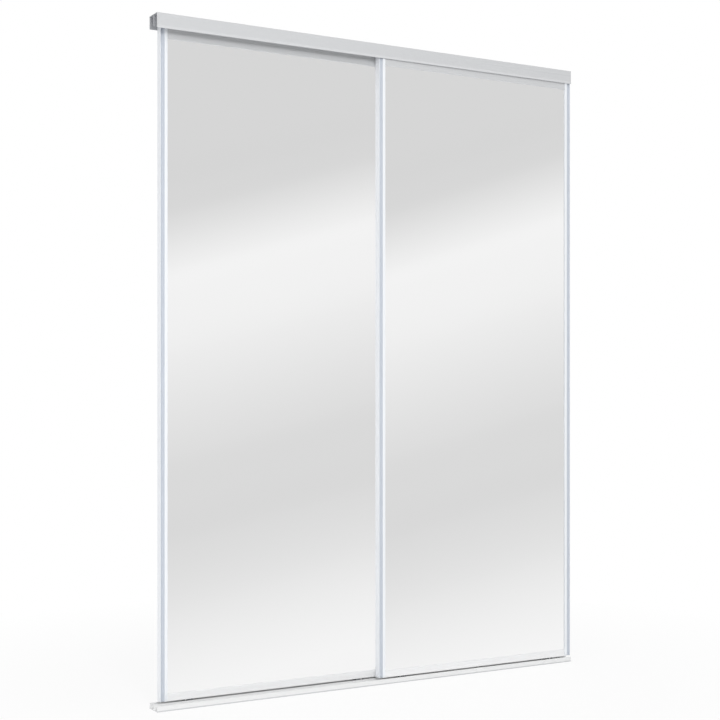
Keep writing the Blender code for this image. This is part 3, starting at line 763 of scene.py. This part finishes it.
class CLOSET_OT_make_stiles(bpy.types.Operator):
    """Make the four stiles, each with its finger groove and screw holes"""

    bl_idname = "closet.make_stiles"
    bl_label = "Make stiles"

    def execute(self, context):
        door = settings().doors
        for name in DOORS:
            for side in SIDES:
                self.make_stile(door, name, side)
        return {"FINISHED"}

    def make_stile(self, door, name, side):
        node = f"{name}_{side}_stile"
        low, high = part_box(node)
        outer, inwards = outer_edge(node, side)
        section = [
            [(outer + inwards * across, low.y + up, rounding) for across, up, rounding in outline]
            for outline in stile_section(door, high.x - low.x, high.y - low.y)
        ]
        mesh = bored(extruded(node, section, "stile_enamel"), self.corner_drills(door, name, side))
        # Paints shade on the points inside the finger groove
        shallow, deep = (low.y + door.groove * depth for depth in GROOVE_SKIN)
        mark_painted_shade(mesh, lambda at: shallow < at.y < deep)
        finished(f"{node}_extrusion", mesh, f"{name}_panel", [node], "stile_enamel")

    def corner_drills(self, door, name, side):
        """Drills through the outer wall for a screw's head and through the inner wall for its shank."""
        node, wall = f"{name}_{side}_stile", door.wall
        low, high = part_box(node)
        outer, inwards = outer_edge(node, side)
        inner = outer + inwards * (high.x - low.x)
        holes = (
            (door.access_hole, outer + inwards * wall / 2),
            (door.shank_hole, inner - inwards * wall / 2),
        )
        drills = []
        for level in LEVELS:
            seat = middle(f"{name}_{level}_{side}_corner_screw")
            for radius, across in holes:
                profile = [(0, -wall), (radius, -wall), (radius, wall), (0, wall)]
                place = Matrix.Translation((across, seat.y, seat.z)) @ FACING_X
                drills.append(turned("drill", profile, steps=32, place=place))
        return joined("corner_drills", drills)


def hanging_port(across, web, down, radius):
    """Corners of a screw port that hangs from a web, from back to front."""
    full = radius * 0.97  # just short of a half circle
    return [
        (across + radius, web, CREASE),
        (across + radius, down - radius, full),
        (across - radius, down - radius, full),
        (across - radius, web, CREASE),
    ]


def rail_section(door, low, high, door_front, port, is_top):
    """Section of a rail: across is the depth in the world and up the height above its free edge."""
    wall, edge = door.wall, door.edge
    tall, front, back = high.z - low.z, low.y, high.y
    slot, web = tall - door.slot_depth, tall - wall
    slot_front = door_front + door.lip
    slot_back = slot_front + door.slot_width
    inner_front, inner_back = front + wall, back - wall
    cove_up = tall * 0.42
    face = [
        (front, 0, edge),
        (front + door.cove, cove_up, tall),
        (front, tall, edge),
        (slot_front, tall, CREASE),
        (slot_front, slot, CREASE),
        (slot_back, slot, CREASE),
        (slot_back, tall, CREASE),
        (back, tall, edge),
        (back, 0, edge),
        (inner_back, 0, CREASE),
    ]
    port_across, port_up = port
    under_web = hanging_port(port_across, web, port_up, door.port)
    pocket = [
        (slot_back + wall, web, CREASE),
        (slot_back + wall, slot - wall, CREASE),
        (inner_front, slot - wall, CREASE),
    ]
    mouth = [(inner_front, 0, CREASE)]
    hole = round_hole(port_across, port_up, door.shank_hole)
    if not is_top:
        return [face + [(inner_back, web, edge)] + under_web + pocket + mouth, hole]
    channel = [(inner_back, door.channel, edge), (inner_front, door.channel, edge)]
    floor = door.channel + wall
    hollow = [(inner_front, floor, edge), (inner_back, floor, edge), (inner_back, web, edge)]
    return [face + channel + mouth, hollow + under_web + pocket, hole]


class CLOSET_OT_make_rails(bpy.types.Operator):
    """Make the top and bottom rails"""

    bl_idname = "closet.make_rails"
    bl_label = "Make rails"

    def execute(self, context):
        door = settings().doors
        for name in DOORS:
            for level in LEVELS:
                self.make_rail(door, name, level)
        return {"FINISHED"}

    def make_rail(self, door, name, level):
        node = f"{name}_{level}_rail"
        low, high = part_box(node)
        edge, inwards = outer_edge(node, level)
        is_top = level == "top"
        # The top rails take the header's darker tone as painted shade under the fascia; the bottom rails
        # keep their own enamel
        finish = "header_enamel" if is_top else "rail_enamel"
        screw = middle(f"{name}_{level}_left_corner_screw")
        port = (screw.y, inwards * (screw.z - edge))
        door_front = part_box(f"{name}_left_stile")[0].y
        section = [
            [(across, edge + inwards * up, rounding) for across, up, rounding in outline]
            for outline in rail_section(door, low, high, door_front, port, is_top)
        ]
        mesh = extruded(node, section, finish)
        if not is_top:
            mesh = bored(mesh, self.clamp_slots(door, name, high.y))
        finished(f"{node}_extrusion", mesh, f"{name}_panel", [node], finish)

    def clamp_slots(self, door, name, back):
        """Upright slots in the rail's back wall, which let the clamp screws move."""
        outline = [
            (across, up + (door.drop if up > 0 else -door.lift), rounding)
            for across, up, rounding in round_hole(0, 0, door.shank_hole)
        ]
        slots = []
        for side in SIDES:
            screw = middle(f"{name}_{side}_clamp_screw")
            place = Matrix.Translation((screw.x, back + door.wall, screw.z)) @ FACING_FRONT
            slots.append(drawn_out("clamp_slot", [outline], 3 * door.wall, place, "rail_enamel"))
        return joined("clamp_slots", slots)


class CLOSET_OT_make_glass(bpy.types.Operator):
    """Make the mirrors and the safety film behind them"""

    bl_idname = "closet.make_glass"
    bl_label = "Make glass"

    def execute(self, context):
        door = settings().doors
        for name in DOORS:
            body = f"{name}_panel"
            node = f"{name}_mirror"
            mesh = softened(node, door.arris)
            finished(f"{node}_sheet", mesh, body, [node], "silvered_glass")
            node = f"{name}_backing_film"
            mesh = softened(node, CREASE)
            finished(f"{node}_sheet", mesh, body, [node], "safety_film")
        return {"FINISHED"}


def strip_outline(door, wide, long):
    """A glazing strip: a channel with rounded lips, its base at height nought."""
    half, wall = wide / 2, door.strip
    nose = wall * 0.45  # just short of a half circle
    return [
        (-half, 0, wall / 2),
        (half, 0, wall / 2),
        (half, long, nose),
        (half - wall, long, nose),
        (half - wall, wall, wall / 3),
        (wall - half, wall, wall / 3),
        (wall - half, long, nose),
        (-half, long, nose),
    ]


class CLOSET_OT_make_glazing_strips(bpy.types.Operator):
    """Make the vinyl strips that hold the glass in the frames"""

    bl_idname = "closet.make_glazing_strips"
    bl_label = "Make glazing strips"

    def execute(self, context):
        door = settings().doors
        for name in DOORS:
            for place in SIDES + LEVELS:
                self.make_strip(door, name, place)
        return {"FINISHED"}

    def make_strip(self, door, name, place):
        node, vinyl = f"{name}_{place}_glazing_strip", "glazing_strip_vinyl"
        low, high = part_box(node)
        base, inwards = outer_edge(node, place)
        depth = middle(node).y
        if place in SIDES:
            corners = strip_outline(door, high.y - low.y, high.x - low.x)
            outline = [(base + inwards * up, depth + across, rounding) for across, up, rounding in corners]
        else:
            corners = strip_outline(door, high.y - low.y, high.z - low.z)
            outline = [(depth + across, base + inwards * up, rounding) for across, up, rounding in corners]
        mesh = extruded(node, [outline], vinyl)
        finished(f"{node}_vinyl", mesh, f"{name}_panel", [node], vinyl)


class CLOSET_OT_make_top_guides(bpy.types.Operator):
    """Make the moulded shoes that guide the doors in the top track"""

    bl_idname = "closet.make_top_guides"
    bl_label = "Make top guides"

    def execute(self, context):
        roller = settings().rollers
        for name in DOORS:
            for side in SIDES:
                node = f"{name}_{side}_top_guide"
                mesh = softened(node, 2 * roller.soften)
                finished(f"{node}_shoe", mesh, f"{name}_panel", [node], "white_nylon")
        return {"FINISHED"}


def wheel_profile(roller, radius, width):
    """Half section of a grooved wheel, from the bore round the rim and back to the bore."""
    half, rim = width / 2, roller.rim
    root = radius - roller.groove
    mouth = roller.groove_floor / 2 + roller.flare
    inner_rim = root - 2 * rim
    upper = [
        (roller.bore, half - rim / 2),
        (roller.bore + rim / 2, half),
        (roller.hub - rim / 2, half),
        (roller.hub, half - rim / 2),
        (roller.hub + rim / 3, half - roller.recess),
        (inner_rim - rim / 3, half - roller.recess),
        (inner_rim, half - rim / 2),
        (inner_rim + rim / 2, half),
        (radius - rim, half),
        (radius - rim * 0.3, half - rim * 0.3),
        (radius, half - rim),
        (radius, mouth + rim / 2),
        (radius - rim / 3, mouth),
        (root + rim / 4, roller.groove_floor / 2),
        (root, roller.groove_floor / 2 - rim / 4),
    ]
    lower = [(across, -up) for across, up in reversed(upper)]
    return upper + lower + upper[:1]


# Domed heads from the middle outwards, as shares of the head's radius and height
RIVET_DOME = ((0, 0), (0.45, 0.12), (0.80, 0.42), (1, 0.85), (1, 1))  # heights from the top down
PAN_DOME = ((0, 1), (0.55, 0.97), (0.85, 0.80), (1, 0.45), (1, 0.10), (0.94, 0))  # heights from the seat up
RIVET_HEIGHT = 0.31  # of a rivet's head, as a share of its radius
# A screw's thread: from where a turn begins down to its root and its crest, as shares of the pitch
THREAD_ROOT = (0.0, 0.2)
THREAD_CREST = (0.5, 0.6)
ROOT_RADIUS, TIP_RADIUS = 0.78, 0.2  # as shares of the shank's radius
# An arm of a screw's cross recess
ARM_LENGTH = 1.15  # as a share of the head's radius
ARM_TAPER = 0.45  # its size at the bottom, as a share of that at the top
ARM_HEIGHT = 0.9  # of its middle, as a share of the head's height


def axle_profile(roller, head, length):
    """A riveted axle: a pin with a domed head at each end."""
    half, tall = length / 2, head * RIVET_HEIGHT
    upper = [(head * out, half - tall * down) for out, down in RIVET_DOME]
    upper.append((roller.axle, half - tall))
    return upper + [(across, -up) for across, up in reversed(upper)]


class CLOSET_OT_make_rollers(bpy.types.Operator):
    """Make the carriages, wheels and axles under the doors"""

    bl_idname = "closet.make_rollers"
    bl_label = "Make rollers"

    def execute(self, context):
        roller = settings().rollers
        for name in DOORS:
            for side in SIDES:
                self.make_roller(roller, f"{name}_{side}")
        return {"FINISHED"}

    def make_roller(self, roller, place):
        body = f"{place}_roller"
        node = f"{place}_carriage"
        mesh = softened(node, roller.soften)
        finished(f"{node}_moulding", mesh, body, [node], "carriage_nylon")
        node = f"{place}_wheel"
        at = Matrix.Translation(middle(node)) @ FACING_BACK
        mesh = turned(node, wheel_profile(roller, *turned_size(node, 1)), steps=72, place=at)
        finished(f"{node}_moulding", mesh, node, [node], "white_nylon")
        node = f"{place}_axle"
        mesh = turned(node, axle_profile(roller, *turned_size(node, 1)), steps=40, place=at)
        finished(f"{node}_rivet", mesh, body, [node], "zinc_plate")


def screw_mesh(roller, radius, length):
    """A pan-head screw with a cross recess: its head's seat is at height nought, its shank below."""
    head, shank, pitch = roller.head, roller.shank, roller.pitch
    core, reach = shank * ROOT_RADIUS, length - head
    profile = [(radius * out, head * up) for out, up in PAN_DOME]
    profile += [(shank, 0), (shank, -pitch * THREAD_CREST[1])]
    for thread in range(1, int((reach - shank) / pitch)):
        profile += [(core, -pitch * (thread + down)) for down in THREAD_ROOT]
        profile += [(shank, -pitch * (thread + down)) for down in THREAD_CREST]
    profile += [(core, shank - reach), (shank * TIP_RADIUS, -reach), (0, -reach)]
    mesh = turned("screw", profile, steps=28)
    for turn in (0, 90):
        mesh = bored(mesh, recess_arm(roller, radius, turn))
    return mesh


def recess_arm(roller, radius, turn):
    """One arm of a screw's cross recess, which tapers downwards."""
    arm = bpy.data.meshes.new("arm")
    with opened(arm) as work:
        bmesh.ops.create_cube(work, size=1.0)
        for vertex in work.verts:
            taper = 1.0 if vertex.co.z > 0 else ARM_TAPER
            vertex.co *= Vector((radius * ARM_LENGTH * taper, roller.drive * taper, roller.head))
    lifted = Matrix.Translation((0, 0, roller.head * ARM_HEIGHT))
    arm.transform(lifted @ Matrix.Rotation(math.radians(turn), 4, "Z"))
    return arm


def corner_facings(name, kind):
    """The nodes of a door's four corner fittings and the way that each faces."""
    return {
        f"{name}_{level}_{side}_{kind}": Vector((outwards, 0, 0))
        for level in LEVELS
        for side, outwards in zip(SIDES, (-1, 1))
    }


def set_in_place(name, fitting, facings, depth, body, slot, finish):
    """Makes one piece of copies of a fitting, each seated that far in from the outer end of its node."""
    seats = []
    for node, facing in facings.items():
        low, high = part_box(node)
        seats.append(middle(node) + facing * (abs(facing.dot(high - low)) / 2 - depth))
    points = bpy.data.meshes.new(name)
    points.from_pydata(seats, [], [])
    attribute = points.attributes.new("facing", "FLOAT_VECTOR", "POINT")
    for value, facing in zip(attribute.data, facings.values()):
        value.vector = facing
    model = on_bench("fitting", fitting)
    inputs = {"Fitting": model, "Finish": finish_of(finish)}
    mesh = shaped(name, points, "NODES", inputs, node_group=fittings_group())
    bpy.data.objects.remove(model)
    finished(name, mesh, body, list(facings), finish)


class CLOSET_OT_make_screws(bpy.types.Operator):
    """Make the corner screws of the frames and the clamp screws of the carriages"""

    bl_idname = "closet.make_screws"
    bl_label = "Make screws"

    def execute(self, context):
        roller = settings().rollers
        look = ("plated_steel", "zinc_plate")
        for name in DOORS:
            facings = corner_facings(name, "corner_screw")
            screw = screw_mesh(roller, *turned_size(f"{name}_bottom_right_corner_screw", 0))
            set_in_place(f"{name}_corner_screws", screw, facings, roller.head, f"{name}_panel", *look)
            for side in SIDES:
                node = f"{name}_{side}_clamp_screw"
                screw = screw_mesh(roller, *turned_size(node, 1))
                facings = {node: Vector((0, 1, 0))}
                set_in_place(f"{node}_zinc", screw, facings, roller.head, f"{name}_{side}_roller", *look)
        return {"FINISHED"}


def plug_profile(roller, cap, length):
    """Half section of a hole plug: a thin dimpled cap, flush at height nought, and a spigot."""
    rim, seat = roller.rim / 2, -roller.plug_cap
    spigot = cap - roller.rim
    return [
        (0, -rim / 2),
        (cap * 0.35, -rim / 2),
        (cap * 0.45, 0),
        (cap - rim, 0),
        (cap - rim * 0.3, -rim * 0.3),
        (cap, -rim),
        (cap, seat),
        (spigot, seat),
        (spigot, rim - length),
        (spigot - rim, -length),
        (0, -length),
    ]


class CLOSET_OT_make_hole_plugs(bpy.types.Operator):
    """Make the plugs that close the corner screws' access holes"""

    bl_idname = "closet.make_hole_plugs"
    bl_label = "Make hole plugs"

    def execute(self, context):
        roller = settings().rollers
        for name in DOORS:
            facings = corner_facings(name, "hole_plug")
            profile = plug_profile(roller, *turned_size(f"{name}_bottom_right_hole_plug", 0))
            plug = turned("plug", profile, steps=48)
            set_in_place(f"{name}_hole_plugs", plug, facings, 0, f"{name}_panel", "nylon", "plug_nylon")
        return {"FINISHED"}


# What the mirrors see: slope of the view above the level, and the grey seen there
STUDIO_BANDS = (
    (-0.225, 0.98),
    (-0.165, 0.86),
    (-0.115, 0.76),
    (-0.085, 0.75),
    (-0.050, 0.78),
    (0.020, 0.905),
    (0.066, 0.955),
    (0.085, 0.93),
    (0.120, 0.765),
    (0.142, 0.723),
    (0.170, 0.723),
)
# Where the two studio panels begin, meet and end, as slopes to the right of the camera's own line
PANEL_EDGES = (-0.142, 0.0145, 0.149)
# Slopes over which the ceiling light above the panels comes in and goes out
CEILING_IN = (0.32, 0.42)
CEILING_OUT = (0.90, 1.00)
LEAST_RUN = 0.05  # least run that a slope is worked out over
SKYLINE = 0.6  # height of the view at which the sky and the ground are at their own brightness

FLOOR_HALF = 8.0  # half of the floor's width
FLOOR_CLEAR = 0.0003  # gap under the bottom track
FLOOR_GREY = 0.9
FLOOR_FADE = (0.9, 2.0)  # distances from the middle over which the floor fades to white
FLOOR_SHOWN = 0.14  # share of the floor's own shade that the camera sees near the middle
SENSOR = 36.0  # width of the camera's sensor in millimetres
LIT_POINT = Vector((0, 0, 1.0))  # what the lamps aim at


def studio_world(stage):
    """White to the camera, soft light from above and below, and slanted soft panels in the mirrors."""
    world = bpy.data.worlds.new("studio")
    world.use_nodes = True
    world.node_tree.nodes.clear()
    desk = NodeDesk(world.node_tree)
    direction = desk.out("ShaderNodeTexCoord", output="Generated")
    height = desk.out("ShaderNodeSeparateXYZ", {"Vector": direction}, "Z")
    ahead = desk.dot(direction, (math.sin(stage.turn), -math.cos(stage.turn), 0))
    sideways = desk.dot(direction, (math.cos(stage.turn), math.sin(stage.turn), 0))
    across = desk.math("DIVIDE", sideways, desk.math("MAXIMUM", ahead, LEAST_RUN))
    level = desk.math("SQRT", desk.math("SUBTRACT", 1.0, desk.math("POWER", height, 2.0)))
    slope = desk.math("DIVIDE", height, desk.math("MAXIMUM", level, LEAST_RUN))
    begin, meet, end = PANEL_EDGES
    in_left = desk.between(across, begin, meet, 0.0, 1.0)
    in_right = desk.between(across, meet, end, 0.0, 1.0)
    is_right = desk.math("GREATER_THAN", across, meet)
    along = desk.math("ADD", in_left, desk.math("SUBTRACT", in_right, is_right))
    band = desk.math("SUBTRACT", slope, desk.math("MULTIPLY", along, stage.slant))
    low, high = STUDIO_BANDS[0][0], STUDIO_BANDS[-1][0]
    bands = desk.add("ShaderNodeValToRGB", {"Fac": desk.between(band, low, high, 0.0, 1.0)})
    ramp = bands.color_ramp
    ramp.interpolation = "CARDINAL"
    while len(ramp.elements) < len(STUDIO_BANDS):
        ramp.elements.new(0.5)
    for stop, (at, brightness) in zip(ramp.elements, STUDIO_BANDS):
        stop.position = (at - low) / (high - low)
        stop.color = grey(brightness)
    entered = desk.between(slope, *CEILING_IN, 0.0, 1.0)
    left = desk.between(slope, *CEILING_OUT, 1.0, 0.0)
    gloss = desk.blend(desk.math("MULTIPLY", entered, left), bands.outputs["Color"], grey(stage.ceiling))
    ambient = desk.between(height, -SKYLINE, SKYLINE, stage.ground, stage.sky)
    rays = desk.add("ShaderNodeLightPath").outputs
    seen = desk.math("MAXIMUM", rays["Is Camera Ray"], rays["Is Transmission Ray"])
    glow = desk.blend(seen, desk.blend(rays["Is Glossy Ray"], ambient, gloss), grey(1.0))
    desk.add("ShaderNodeOutputWorld", {"Surface": desk.out("ShaderNodeBackground", {"Color": glow})})
    return world


def floor_finish():
    """A pale floor that fades to white away from the object and keeps its shadow."""
    finish, desk, shader = new_finish("pale_floor")
    desk.feed(shader, {"Base Color": grey(FLOOR_GREY), "Roughness": 0.9})
    place = desk.out("ShaderNodeTexCoord", output="Object")
    reach = desk.out("ShaderNodeVectorMath", {0: place}, "Value", operation="LENGTH")
    shown = desk.between(reach, *FLOOR_FADE, FLOOR_SHOWN, 0.0)
    unseen = desk.math("SUBTRACT", 1.0, desk.out("ShaderNodeLightPath", output="Is Camera Ray"))
    white, pale = desk.out("ShaderNodeEmission"), shader.outputs["BSDF"]
    mixed = desk.out("ShaderNodeMixShader", {"Fac": desk.math("MAXIMUM", shown, unseen), 1: white, 2: pale})
    desk.feed(finish.node_tree.nodes["Material Output"], {"Surface": mixed})
    return finish


class CLOSET_OT_make_stage(bpy.types.Operator):
    """Make the floor, the light and the camera"""

    bl_idname = "closet.make_stage"
    bl_label = "Make stage"

    def execute(self, context):
        stage = settings().stage
        scene = context.scene
        scene.world = studio_world(stage)
        scene.view_settings.view_transform = "Standard"
        self.make_floor()
        self.make_lamp("key_lamp", stage.key_place, stage.key_width, stage.key)
        self.make_lamp("fill_lamp", stage.fill_place, stage.fill_width, stage.fill)
        camera = bpy.data.cameras.new("camera")
        camera.sensor_width = SENSOR
        camera.lens = stage.lens
        camera.shift_y = stage.rise
        scene.camera = on_bench("camera", camera)
        scene.camera.location = stage.eye
        scene.camera.rotation_euler = (math.radians(90), 0, -stage.turn)
        return {"FINISHED"}

    def make_floor(self):
        mesh = bpy.data.meshes.new("floor")
        corners = [(-1, -1), (1, -1), (1, 1), (-1, 1)]
        height = CAD_BOX[0].z - FLOOR_CLEAR
        mesh.from_pydata([(x * FLOOR_HALF, y * FLOOR_HALF, height) for x, y in corners], [], [(0, 1, 2, 3)])
        mesh.materials.append(floor_finish())
        floor = on_bench("floor", mesh)
        floor.visible_glossy = False

    def make_lamp(self, name, place, width, power):
        """A round lamp that is hidden from the camera and from the mirrors."""
        lamp = bpy.data.lights.new(name, "AREA")
        lamp.shape = "DISK"
        lamp.size = width
        lamp.energy = power
        obj = on_bench(name, lamp)
        obj.location = place
        obj.rotation_euler = (LIT_POINT - obj.location).to_track_quat("-Z", "Y").to_euler()
        obj.visible_glossy = False
        obj.visible_camera = False


class CLOSET_PT_pieces(bpy.types.Panel):
    """Lists the pieces of the closet door and their sizes"""

    bl_idname = "CLOSET_PT_pieces"
    bl_label = "Closet door"
    bl_space_type = "VIEW_3D"
    bl_region_type = "UI"
    bl_category = "Closet door"

    def draw(self, context):
        for operator in OPERATORS:
            self.layout.operator(operator.bl_idname)
        for group in (settings().tracks, settings().doors, settings().rollers, settings().stage):
            column = self.layout.column(align=True)
            for name in group.__annotations__:
                column.prop(group, name)


OPERATORS = (
    CLOSET_OT_make_tracks,
    CLOSET_OT_make_stiles,
    CLOSET_OT_make_rails,
    CLOSET_OT_make_glass,
    CLOSET_OT_make_glazing_strips,
    CLOSET_OT_make_top_guides,
    CLOSET_OT_make_rollers,
    CLOSET_OT_make_screws,
    CLOSET_OT_make_hole_plugs,
    CLOSET_OT_make_stage,
)
CLASSES = (
    TrackSettings,
    DoorSettings,
    RollerSettings,
    StageSettings,
    ClosetDoorSettings,
    *OPERATORS,
    CLOSET_PT_pieces,
)


def register():
    for made in CLASSES:
        bpy.utils.register_class(made)
    bpy.types.Scene.closet_door = PointerProperty(
        name="Closet door", description="Sizes and colours of the closet door", type=ClosetDoorSettings
    )


def unregister():
    del bpy.types.Scene.closet_door
    for made in reversed(CLASSES):
        bpy.utils.unregister_class(made)


def main():
    register()
    bpy.ops.closet.make_tracks()
    bpy.ops.closet.make_stiles()
    bpy.ops.closet.make_rails()
    bpy.ops.closet.make_glass()
    bpy.ops.closet.make_glazing_strips()
    bpy.ops.closet.make_top_guides()
    bpy.ops.closet.make_rollers()
    bpy.ops.closet.make_screws()
    bpy.ops.closet.make_hole_plugs()
    bpy.ops.closet.make_stage()


if __name__ == "__main__":
    main()
